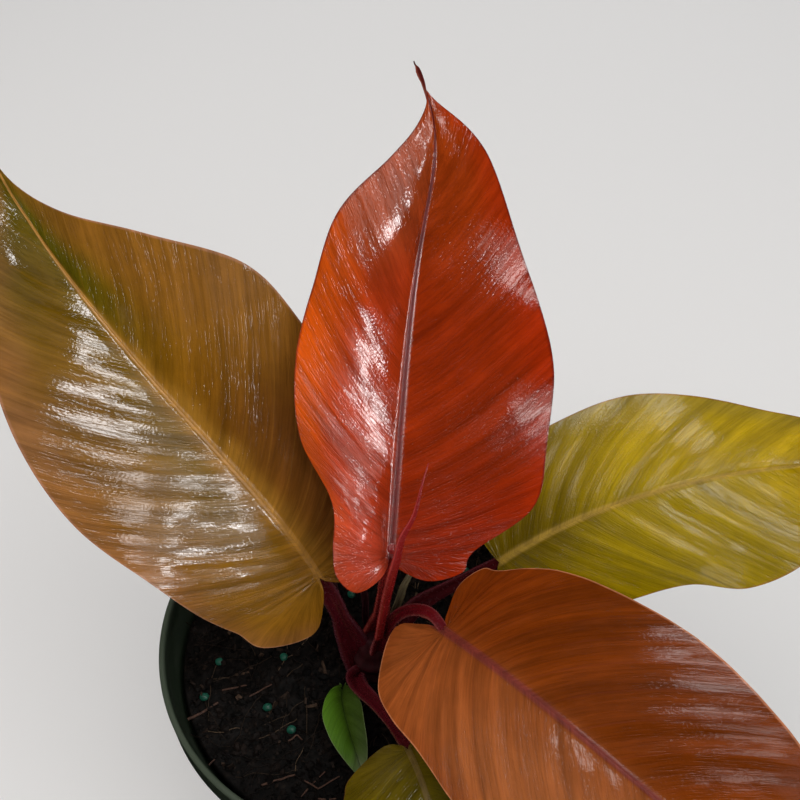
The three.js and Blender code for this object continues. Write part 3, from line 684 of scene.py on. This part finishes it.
# Living stalk: smooth, moist skin with long faint streaks, and a painted highlight along the rims of its
# channel.
def stalkMaterial(name, foot, top, rim, rough=0.22):
    look = stalkSkin
    material, tree, shader = newMaterial(name)
    place = addNode(tree, "ShaderNodeTexCoord").outputs["Object"]
    reach, edge, girth, run = (addNode(tree, "ShaderNodeAttribute", attribute_name=key).outputs["Fac"]
                               for key in ("reach", "rim", "girth", "run"))
    lines = addNode(tree, "ShaderNodeCombineXYZ", (girth, run))
    spread = addNode(tree, "ShaderNodeMapping", {"Scale": look["streaks"], "Vector": lines})
    streak = addNode(tree, "ShaderNodeTexNoise", {
        "Vector": spread, "Scale": 1.0, "Detail": 3, "Roughness": 0.6})
    speckle = addNode(tree, "ShaderNodeTexNoise", {
        "Vector": place, "Scale": 1000 / look["speckle"], "Detail": 3})
    mixed = addNode(tree, "ShaderNodeMix", {"Factor": reach, "A": srgb(foot), "B": srgb(top)},
                    data_type="RGBA")
    # the painted highlight colour is mixed in here
    glintShare = addNode(tree, "ShaderNodeMath", (edge, 0.75), operation="MULTIPLY")
    withPaintedGlint = addNode(tree, "ShaderNodeMix", {"Factor": glintShare, "A": mixed, "B": srgb(rim)}, data_type="RGBA")
    level = addNode(tree, "ShaderNodeMapRange", (streak, 0.3, 0.7, 0.75, 1.3))
    lit = addNode(tree, "ShaderNodeVectorMath", {0: withPaintedGlint, "Scale": level}, operation="SCALE")
    gloss = addNode(tree, "ShaderNodeMapRange", (speckle, 0.3, 0.7, rough - 0.06, rough + 0.1))
    ridge = addNode(tree, "ShaderNodeBump", {
        "Strength": 0.5, "Distance": look["streakDepth"] * mm, "Height": streak})
    pores = addNode(tree, "ShaderNodeBump", {
        "Strength": 0.3, "Distance": look["poreDepth"] * mm, "Height": speckle, "Normal": ridge})
    feed(tree, shader, {"Base Color": lit, "Roughness": gloss, "Normal": pores})
    return material


stalkLook = {  # colours of foot, top and the painted highlight along the rims, slot, then the depth of the channel at foot and top
    "uprightRed": ("#40090f", "#8a2420", "#a8473c", "red_stalk", (0.55, 0.12)),
    "leftOlive": ("#4a0d14", "#440e16", "#5a3038", "dark_stalk", (0.62, 0.3)),
    "nearOrange": ("#3d080e", "#5a0a12", "#8e4a48", "red_stalk", (0.55, 0.12)),
    "rightYellow": ("#3a0a10", "#430a10", "#5e2a30", "dark_stalk", (0.55, 0.12)),
    "frontGreen": ("#400a11", "#480e14", "#6a3238", "dark_stalk", (0.55, 0.12)),
}

for leafName, leaf in leaves.items():
    spine = traceSpine(leaf)
    wide, deep = leaf["petioleSize"][-1]
    ahead = [int(np.argmax(spine["run"] > d)) for d in (5, stalkBuild["intoBlade"])]
    base = spine["place"][0] - spine["up"][0] * deep * 0.2
    under = [spine["place"][i] - spine["up"][i] * drop for i, drop in zip(ahead, (0.8, 1.0))]
    sizes = [*leaf["petioleSize"], (wide * 1.05, deep), (wide * 0.7, deep * 0.6), (wide * 0.3, deep * 0.3)]
    foot, top, rim, slot, channel = stalkLook[leafName]
    sweepStalk(leafName + "Petiole", [*leaf["petiole"], base, *under], sizes, leaf["facing"][0],
               stalkMaterial(leafName + "StalkSkin", foot, top, rim), leaf["node"] + "_petiole",
               channel, seed=leaf["seed"])

stemLook = {"path": [(0, -9, 109), (0, -9, 118), (0, -9, 128), (0, -9, 136), (0, -9, 143)],
            "sizes": [(12, 12), (16, 16), (17, 17), (15, 15), (6, 6)]}
# The third colour of each stalk skin is its painted highlight.
sweepStalk("shortStem", stemLook["path"], stemLook["sizes"], (0, 0),
           stalkMaterial("stemSkin", "#1c0a0b", "#2b080d", "#3a1a1c", 0.4), "stem",
           knots=0.05, seed=5.0)

spearLook = {
    "path": [(2, -15, 153), (5, -16, 175), (8, -18, 194), (10, -18, 203), (12, -16, 211), (16, -13, 218),
             (19, -8, 227), (21, -4, 231)],
    "sizes": [(3, 2.6), (3, 2.8), (3.2, 3), (3.2, 3), (2.8, 2.6), (2, 1.8), (1, 0.9), (0.3, 0.3)],
}
# The third colour is a painted highlight along the spear's upper sides.
sweepStalk("newLeafSpear", spearLook["path"], spearLook["sizes"], (20, 20),
           stalkMaterial("rolledLeafSkin", "#6e1414", "#8a1c1c", "#b04a44"), "new_leaf_spear",
           seam=0.3, seed=9.0)
print("stalks made")

potLook = {  # mm
    "sides": 192, "wall": 1.6, "floor": 2, "baseRadius": 55, "lipHeight": 13, "lipStep": 2.6,
    "holes": 8, "holeRadius": 5, "grain": 0.35, "grainDepth": 0.1,
    "colour": "#232c20", "scuffAndRimHighlightColour": "#434c3d",
}


def arc(centre, radius, start, end, count=6):
    turns = np.radians(np.linspace(start, end, count))
    return [(centre[0] + radius * math.cos(t), centre[1] + radius * math.sin(t)) for t in turns]


def potProfile():
    look = potLook
    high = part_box("nursery_pot")[1]
    height, rim = high[2] / mm, high[0] / mm
    neck, neckRadius = height - look["lipHeight"], rim - look["lipStep"]
    base, wall, floor = look["baseRadius"], look["wall"], look["floor"]
    profile = [(0, 0), (20, 0), (21, 0.5), (40, 0.5), (41, 0), *arc((base - 2, 2), 2, -90, 0)]
    for i in range(1, 9):  # the wall, with two shallow moulded steps
        u = i / 9
        step = 0.25 if i in (3, 6) else 0
        profile.append((base + (neckRadius - 1 - base) * u - step, 2 + (neck - 3) * u))
    profile += [(neckRadius - 1, neck - 1), *arc((rim - 1.2, neck + 1.2), 1.2, -80, 0, 5)]
    profile += [(rim - 0.15, neck + 5), (rim - 0.15, height - 3)]
    profile += arc((rim - 1.1, height - 1.1), 1.1, 0, 180, 11)
    profile += [(rim - 2.4, height - 4), (rim - 2.5, neck + 3), (neckRadius - wall, neck - 1)]
    return profile + [(base - wall, floor + 1.5), (base - wall - 1.5, floor), (0, floor)]


def makePot():
    look = potLook
    shape = bmesh.new()
    points = [shape.verts.new((r * mm, 0, z * mm)) for r, z in potProfile()]
    edges = [shape.edges.new(pair) for pair in zip(points, points[1:])]
    bmesh.ops.spin(shape, geom=points + edges, cent=(0, 0, 0), axis=(0, 0, 1), angle=fullTurn,
                   steps=look["sides"], use_merge=True)
    bmesh.ops.remove_doubles(shape, verts=shape.verts, dist=1e-6)
    bmesh.ops.recalc_face_normals(shape, faces=shape.faces)
    cutters = bmesh.new()
    for i in range(look["holes"]):
        turn = Matrix.Rotation(fullTurn * (i + 0.5) / look["holes"], 4, "Z")
        place = turn @ Matrix.Translation((look["baseRadius"] * mm, 0, (look["floor"] + 1) * mm))
        bmesh.ops.create_cone(cutters, cap_ends=True, segments=32, radius1=look["holeRadius"] * mm,
                              radius2=look["holeRadius"] * mm, depth=16 * mm,
                              matrix=place @ Matrix.Rotation(math.pi / 2, 4, "Y"))
    things = []
    for name, made in (("potShell", shape), ("potHoles", cutters)):
        mesh = bpy.data.meshes.new(name)
        made.to_mesh(mesh)
        made.free()
        things.append(addObject(name, mesh))
    shell, holes = things
    cut = shell.modifiers.new("holes", "BOOLEAN")
    cut.object = holes
    cut.operation = "DIFFERENCE"
    cut.solver = "EXACT"
    mesh = settle(shell, "nurseryPot")
    bpy.data.objects.remove(holes)
    mesh.shade_smooth()
    mesh.set_sharp_from_angle(angle=math.radians(40))
    mesh.materials.clear()
    showPiece("nurseryPot", mesh, ["nursery_pot"], potPlastic(), smooth=False)


# Moulded polypropylene: satin, with fine grain and faint scuffs, and a paler top to the rim that is a painted
# highlight.
def potPlastic():
    material, tree, shader = newMaterial("mouldedPolypropylene")
    place = addNode(tree, "ShaderNodeTexCoord").outputs["Object"]
    scuff = addNode(tree, "ShaderNodeMapping", {"Scale": (60, 60, 260), "Vector": place})
    wear = addNode(tree, "ShaderNodeTexNoise", {
        "Vector": scuff, "Scale": 1.0, "Detail": 6, "Roughness": 0.65})
    grain = addNode(tree, "ShaderNodeTexNoise", {
        "Vector": place, "Scale": 1000 / (2 * potLook["grain"]), "Detail": 2})
    height = addNode(tree, "ShaderNodeSeparateXYZ", {"Vector": place}).outputs["Z"]
    # painted highlight: the top of the rim is mixed toward the pale colour
    rim = addNode(tree, "ShaderNodeMapRange", (height, 0.137, 0.1398, 0.0, 0.8))  # heights in metres
    patch = addNode(tree, "ShaderNodeMapRange", (wear, 0.45, 0.75, 0.0, 0.35))
    scuffsAndRimHighlight = addNode(tree, "ShaderNodeMath", (rim, patch), operation="MAXIMUM")
    colour = addNode(tree, "ShaderNodeMix", {
        "Factor": scuffsAndRimHighlight, "A": srgb(potLook["colour"]), "B": srgb(potLook["scuffAndRimHighlightColour"])}, data_type="RGBA")
    gloss = addNode(tree, "ShaderNodeMapRange", (wear, 0.3, 0.7, 0.32, 0.55))
    bump = addNode(tree, "ShaderNodeBump", {
        "Strength": 0.25, "Distance": potLook["grainDepth"] * mm, "Height": grain})
    feed(tree, shader, {"Base Color": colour, "Roughness": gloss, "Normal": bump})
    return material


makePot()
print("pot made")

soilLook = {"rings": 96, "turns": 260, "level": 126.0, "footRadius": 51.0, "relief": 0.9, "seed": 4.0,
            "grain": 1.6, "grainDepth": 0.6, "damp": 26, "specular": 0.15,
            "tones": ("#070605", "#100c0a", "#211913")}
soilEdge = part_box("potting_soil")[1][0] / mm


def soilHeight(x, y):
    calm = np.clip(1 - (np.hypot(x, y) / soilEdge) ** 6, 0, 1)
    lumps = np.sin(x / 8 + 1) * np.cos(y / 10) + 0.5 * np.sin(x / 5 - y / 6)
    flat = np.stack([x, y, 0 * x], -1)
    rough = 1.3 * noiseAt(flat, 0.16, soilLook["seed"]) + 0.8 * noiseAt(flat, 0.5, soilLook["seed"] + 9)
    return soilLook["level"] + soilLook["relief"] * calm * lumps + rough


def heightAt(x, y):
    return soilHeight(np.array([x], float), np.array([y], float))[0]


# Potting mix: matt and near black when damp, with browner crumbs.
def pottingMix():
    material, tree, shader = newMaterial("dampPeat")
    place = addNode(tree, "ShaderNodeTexCoord").outputs["Object"]
    crumb = addNode(tree, "ShaderNodeTexNoise", {
        "Vector": place, "Scale": 1000 / (2 * soilLook["grain"]), "Detail": 6, "Roughness": 0.7})
    damp = addNode(tree, "ShaderNodeTexNoise", {
        "Vector": place, "Scale": 1000 / soilLook["damp"], "Detail": 2})
    ramp = addNode(tree, "ShaderNodeValToRGB", (crumb,))
    marks = ramp.color_ramp.elements
    marks[0].position, marks[1].position = 0.4, 0.75
    marks.new(0.56)
    for mark, tone in zip(marks, soilLook["tones"]):
        mark.color = srgb(tone)
    rough = addNode(tree, "ShaderNodeMapRange", (damp, 0.35, 0.65, 0.6, 0.95))
    bump = addNode(tree, "ShaderNodeBump", {
        "Strength": 0.9, "Distance": soilLook["grainDepth"] * mm, "Height": crumb})
    feed(tree, shader, {"Base Color": ramp, "Roughness": rough, "Normal": bump,
                        "Specular IOR Level": soilLook["specular"]})
    return material


def makeSoil():
    bottom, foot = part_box("potting_soil")[0][2] / mm, soilLook["footRadius"]
    turns = np.linspace(0, fullTurn, soilLook["turns"], endpoint=False)
    radii = soilEdge * np.linspace(0, 1, soilLook["rings"] + 1)[1:] ** 0.8
    x, y = radii[:, None] * np.cos(turns), radii[:, None] * np.sin(turns)
    z = soilHeight(x.ravel(), y.ravel()).reshape(x.shape)
    z[-1] -= 2.5
    top = np.stack([x, y, z], -1).reshape(-1, 3)
    side = [np.stack([r * np.cos(turns), r * np.sin(turns), 0 * turns + h], -1)
            for r, h in ((foot + 13, 70), (foot, bottom))]
    vertices = np.vstack([top, *side, [(0, 0, heightAt(0, 0)), (0, 0, bottom)]]) * mm
    mesh = meshOf("pottingSoil", vertices, tubeFaces(len(radii) + len(side), len(turns)))
    showPiece("pottingSoil", mesh, ["potting_soil"], pottingMix())


makeSoil()
print("soil made")


# A geometry tree is given its host's mesh or curve, and its result is kept as a plain mesh.
def newTree(name, sizes):
    tree = bpy.data.node_groups.new(name, "GeometryNodeTree")
    tree.interface.new_socket("Geometry", in_out="INPUT", socket_type="NodeSocketGeometry")
    tree.interface.new_socket("Geometry", in_out="OUTPUT", socket_type="NodeSocketGeometry")
    for key, value in sizes.items():
        kind = {int: "NodeSocketInt", float: "NodeSocketFloat", tuple: "NodeSocketVector"}[type(value)]
        tree.interface.new_socket(key, in_out="INPUT", socket_type=kind)
    return tree, addNode(tree, "NodeGroupInput").outputs


def grow(name, hostData, tree, sizes, nodes=(), smooth=False):
    host = addObject(name + "Host", hostData)
    modifier = host.modifiers.new("grow", "NODES")
    modifier.node_group = tree
    for item in tree.interface.items_tree:
        if item.in_out == "INPUT" and item.name in sizes:
            modifier[item.identifier] = sizes[item.name]
    showPiece(name, settle(host, name), nodes, smooth=smooth)


def roughen(tree, geometry, given):  # moves points by noise; Lumps is per metre, Uneven in metres
    scatter = addNode(tree, "ShaderNodeTexNoise", {"Scale": given["Lumps"], "Detail": 1})
    centred = addNode(tree, "ShaderNodeVectorMath", {0: scatter.outputs["Color"], 1: (0.5, 0.5, 0.5)},
                      operation="SUBTRACT")
    offset = addNode(tree, "ShaderNodeVectorMath", {0: centred, "Scale": given["Uneven"]}, operation="SCALE")
    return addNode(tree, "GeometryNodeSetPosition", {"Geometry": geometry, "Offset": offset})


def toneEach(tree, instances, seed):  # each instance gets its own tone, then becomes real mesh
    tone = addNode(tree, "FunctionNodeRandomValue", {"Seed": seed}, data_type="FLOAT")
    toned = addNode(tree, "GeometryNodeStoreNamedAttribute", {
        "Name": "tone", "Geometry": instances, "Value": tone}, data_type="FLOAT", domain="INSTANCE")
    return addNode(tree, "GeometryNodeRealizeInstances", (toned,))


def finishTree(tree, geometry, material):
    real = addNode(tree, "GeometryNodeRealizeInstances", (geometry,))
    dressed = addNode(tree, "GeometryNodeSetMaterial", {"Geometry": real, "Material": material})
    addNode(tree, "NodeGroupOutput", (dressed,))


def crumbTree(name, crumbShape, sizes, material):
    tree, given = newTree(name, sizes)
    points = addNode(tree, "GeometryNodeDistributePointsOnFaces", {
        "Mesh": given["Geometry"], "Density": given["Density"], "Seed": given["Seed"]})
    crumb = addNode(tree, *crumbShape)
    size = addNode(tree, "FunctionNodeRandomValue", {
        "Min": given["Smallest"], "Max": given["Largest"], "Seed": given["Seed"]}, data_type="FLOAT_VECTOR")
    turn = addNode(tree, "FunctionNodeRandomValue", {"Max": (6.3, 6.3, 6.3), "Seed": 3},
                   data_type="FLOAT_VECTOR")
    placed = addNode(tree, "GeometryNodeInstanceOnPoints", {
        "Points": points, "Instance": crumb, "Rotation": turn, "Scale": size})
    finishTree(tree, roughen(tree, toneEach(tree, placed, 8), given), material)
    return tree


looseSkin = {"grain": 1.2, "grainDepth": 0.2}  # mm


# Loose bits of the mix: each has its own tone, from damp black peat to dry bark or husk.
def looseMix(name, dark, light, paleShare, rough=0.85):
    material, tree, shader = newMaterial(name)
    tone = addNode(tree, "ShaderNodeAttribute", attribute_name="tone").outputs["Fac"]
    place = addNode(tree, "ShaderNodeTexCoord").outputs["Object"]
    grain = addNode(tree, "ShaderNodeTexNoise", {
        "Vector": place, "Scale": 1000 / looseSkin["grain"], "Detail": 4, "Roughness": 0.7})
    pale = addNode(tree, "ShaderNodeMath", (tone, 1 / paleShare), operation="POWER")
    colour = addNode(tree, "ShaderNodeMix", {"Factor": pale, "A": srgb(dark), "B": srgb(light)},
                     data_type="RGBA")
    level = addNode(tree, "ShaderNodeMapRange", (grain, 0.35, 0.65, 0.6, 1.4))
    lit = addNode(tree, "ShaderNodeVectorMath", {0: colour, "Scale": level}, operation="SCALE")
    matt = addNode(tree, "ShaderNodeMapRange", (grain, 0.35, 0.65, rough - 0.25, min(1.0, rough + 0.1)))
    bump = addNode(tree, "ShaderNodeBump", {
        "Strength": 0.6, "Distance": looseSkin["grainDepth"] * mm, "Height": grain})
    feed(tree, shader, {"Base Color": lit, "Roughness": matt, "Normal": bump,
                        "Specular IOR Level": soilLook["specular"]})
    return material


def soilTop(edge, turns=120):  # a disc of the soil's surface, to strew things on
    radii = np.linspace(0, edge, 40)[1:, None]
    angles = np.linspace(0, fullTurn, turns, endpoint=False)[None]
    x, y = (radii * np.cos(angles)).ravel(), (radii * np.sin(angles)).ravel()
    vertices = [(0, 0, heightAt(0, 0)), *zip(x, y, soilHeight(x, y))]
    faces = [(0, 1 + k, 1 + (k + 1) % turns) for k in range(turns)] + ringFaces(len(radii), turns, 1)
    return meshOf("soilTop", np.array(vertices) * mm, faces)


icoCrumb = ("GeometryNodeMeshIcoSphere", {"Radius": 1.0, "Subdivisions": 1})
cubeCrumb = ("GeometryNodeMeshCube", {"Size": (1, 1, 1)})
crumbs = {  # shape, tones and share of pale ones, then the tree's inputs in metres
    "peatCrumbs": (icoCrumb, ("#060504", "#1e1611", 0.4), {
        "Density": 260000.0, "Seed": 2, "Smallest": (0.0003, 0.0003, 0.0002),
        "Largest": (0.0011, 0.0011, 0.0009)}),
    "peatLumps": (icoCrumb, ("#070605", "#1a120e", 0.5), {
        "Density": 24000.0, "Seed": 5, "Smallest": (0.0012, 0.001, 0.0008),
        "Largest": (0.0028, 0.0024, 0.0019)}),
    "barkChips": (cubeCrumb, ("#0c0807", "#4a382b", 0.22), {
        "Density": 17000.0, "Seed": 9, "Smallest": (0.0016, 0.0007, 0.0003),
        "Largest": (0.0062, 0.0022, 0.0009)}),
}

surface = soilTop(soilEdge - 1.6)
for crumbName, (crumbShape, tones, given) in crumbs.items():
    sizes = {**given, "Lumps": 1 / 0.0012, "Uneven": 0.0008}
    tree = crumbTree(crumbName, crumbShape, sizes, looseMix(crumbName + "Mix", *tones))
    grow(crumbName, surface, tree, sizes)

fibreLook = {"Density": 15000.0, "Seed": 4, "Shortest": 0.006, "Longest": 0.024, "Thickness": 0.00014,
             "Lumps": 90.0, "Uneven": 0.006, "Ripple": 160.0, "Arch": 0.0035, "Sink": -0.0012}


def fibreTree(material):
    tree, given = newTree("coirFibres", fibreLook)
    points = addNode(tree, "GeometryNodeDistributePointsOnFaces", {
        "Mesh": given["Geometry"], "Density": given["Density"], "Seed": given["Seed"]})
    line = addNode(tree, "GeometryNodeCurvePrimitiveLine", {"Start": (-0.5, 0, 0), "End": (0.5, 0, 0)})
    stepped = addNode(tree, "GeometryNodeResampleCurve", {"Curve": line, "Count": 11})
    length = addNode(tree, "FunctionNodeRandomValue", {
        2: given["Shortest"], 3: given["Longest"], "Seed": given["Seed"]}, data_type="FLOAT")
    scale = addNode(tree, "ShaderNodeCombineXYZ", (length, 1.0, 1.0))
    turn = addNode(tree, "FunctionNodeRandomValue", {3: 6.3, "Seed": 6}, data_type="FLOAT")
    spin = addNode(tree, "ShaderNodeCombineXYZ", {"Z": turn})
    placed = addNode(tree, "GeometryNodeInstanceOnPoints", {
        "Points": points, "Instance": stepped, "Rotation": spin, "Scale": scale})
    bent = roughen(tree, toneEach(tree, placed, 12), given)
    here = addNode(tree, "GeometryNodeInputPosition")
    above = addNode(tree, "ShaderNodeVectorMath", (here, (0, 0, 0.01)), operation="ADD")
    fall = addNode(tree, "GeometryNodeRaycast", {
        "Target Geometry": given["Geometry"], "Source Position": above, "Ray Direction": (0, 0, -1),
        "Ray Length": 0.03})
    ripple = addNode(tree, "ShaderNodeTexNoise", {"Scale": given["Ripple"], "Detail": 1})
    lift = addNode(tree, "ShaderNodeMath", (ripple, given["Arch"], given["Sink"]), operation="MULTIPLY_ADD")
    raised = addNode(tree, "ShaderNodeCombineXYZ", {"Z": lift})
    rest = addNode(tree, "ShaderNodeVectorMath", (fall.outputs["Hit Position"], raised), operation="ADD")
    kept = addNode(tree, "GeometryNodeSwitch", {
        "Switch": fall.outputs["Is Hit"], "False": here, "True": rest}, input_type="VECTOR")
    laid = addNode(tree, "GeometryNodeSetPosition", {"Geometry": bent, "Position": kept})
    ring = addNode(tree, "GeometryNodeCurvePrimitiveCircle", {"Resolution": 4, "Radius": given["Thickness"]})
    tube = addNode(tree, "GeometryNodeCurveToMesh", {"Curve": laid, "Profile Curve": ring, "Fill Caps": True})
    finishTree(tree, tube, material)
    return tree


grow("coirFibres", surface, fibreTree(looseMix("coirFibre", "#140d09", "#6a5642", 0.2, 0.7)), fibreLook,
     smooth=True)

twigLook = {"Step": 0.0008, "Lumps": 1 / 0.0032, "Uneven": 0.0009}
twigPlaces = [  # bigger twigs lie where they fell, in mm: radius, then the places along each
    (0.55, [(-67, -28), (-63, -26), (-57, -22)]), (0.35, [(-56, -17), (-47, -16)]),
    (0.3, [(-46, -21), (-38, -16)]), (0.3, [(-31, -38), (-28, -36), (-26, -38)]),
    (0.4, [(-39, -53), (-28, -50)]), (0.3, [(-58, -45), (-56, -43)]),
    (0.3, [(-25, -52), (-20, -55), (-13, -51)]), (0.3, [(-26, -57), (-18, -49)]),
    (0.3, [(-20, -58), (-14, -59)]), (0.4, [(22, 48), (31, 55), (36, 52)]), (0.35, [(50, 12), (58, 20)]),
    (0.3, [(40, -40), (47, -34)]), (0.4, [(-12, 50), (-4, 56)]),
]


def twigTree(material):
    tree, given = newTree("barkTwigs", twigLook)
    stepped = addNode(tree, "GeometryNodeResampleCurve", {
        "Curve": given["Geometry"], "Length": given["Step"]}, mode="LENGTH")
    bent = roughen(tree, stepped, given)
    ring = addNode(tree, "GeometryNodeCurvePrimitiveCircle", {"Resolution": 7, "Radius": 1.0})
    girth = addNode(tree, "GeometryNodeInputRadius")
    tube = addNode(tree, "GeometryNodeCurveToMesh", {
        "Curve": bent, "Profile Curve": ring, "Scale": girth, "Fill Caps": True})
    finishTree(tree, tube, material)
    return tree


def makeTwigs():
    curve = bpy.data.curves.new("twigPaths", "CURVE")
    curve.dimensions = "3D"
    for radius, places in twigPlaces:
        spline = curve.splines.new("POLY")
        spline.points.add(len(places) - 1)
        for i, (x, y) in enumerate(places):
            z = heightAt(x, y) + radius + 0.6
            spline.points[i].co = (x * mm, y * mm, z * mm, 1)
            spline.points[i].radius = radius * mm * (1 - 0.4 * i / len(places))
    bark = looseMix("dryTwig", "#4a342a", "#4a342a", 0.5, 0.75)
    grow("barkTwigs", curve, twigTree(bark), twigLook, smooth=True)


makeTwigs()

prillLook = {"Smallest": (0.0013, 0.0013, 0.0012), "Largest": (0.0017, 0.0016, 0.0015), "Seed": 7,
             "Lumps": 500.0, "Uneven": 0.0006}
prillSkin = {"dark": "#07382a", "light": "#125844", "mottle": 1.1, "depth": 0.1}  # mm


# Slow-release prills: a satin resin coat over a slightly uneven round core.
def resinCoat():
    look = prillSkin
    material, tree, shader = newMaterial("resinCoatedPrill")
    place = addNode(tree, "ShaderNodeTexCoord").outputs["Object"]
    mottle = addNode(tree, "ShaderNodeTexNoise", {
        "Vector": place, "Scale": 1000 / look["mottle"], "Detail": 4})
    colour = addNode(tree, "ShaderNodeMix", {
        "Factor": mottle, "A": srgb(look["dark"]), "B": srgb(look["light"])}, data_type="RGBA")
    rough = addNode(tree, "ShaderNodeMapRange", (mottle, 0.0, 1.0, 0.35, 0.6))
    bump = addNode(tree, "ShaderNodeBump", {
        "Strength": 0.5, "Distance": look["depth"] * mm, "Height": mottle})
    feed(tree, shader, {"Base Color": colour, "Roughness": rough, "Normal": bump})
    return material


def makePrills():
    nodes = [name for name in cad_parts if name.startswith("fertiliser_prill")]
    centres = []
    for node in nodes:
        low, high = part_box(node)
        x, y = ((a + b) / 2 / mm for a, b in zip(low[:2], high[:2]))
        centres.append((x * mm, y * mm, (heightAt(x, y) + 1.3) * mm))
    host = meshOf("prillPlaces", centres, [])
    tree, given = newTree("fertiliserPrills", prillLook)
    ball = addNode(tree, "GeometryNodeMeshIcoSphere", {"Radius": 1.0, "Subdivisions": 3})
    size = addNode(tree, "FunctionNodeRandomValue", {
        "Min": given["Smallest"], "Max": given["Largest"], "Seed": given["Seed"]}, data_type="FLOAT_VECTOR")
    placed = addNode(tree, "GeometryNodeInstanceOnPoints", {
        "Points": given["Geometry"], "Instance": ball, "Scale": size})
    real = addNode(tree, "GeometryNodeRealizeInstances", (placed,))
    finishTree(tree, roughen(tree, real, given), resinCoat())
    grow("fertiliserPrills", host, tree, prillLook, nodes, smooth=True)


makePrills()
print("crumbs, fibres, twigs and prills made")
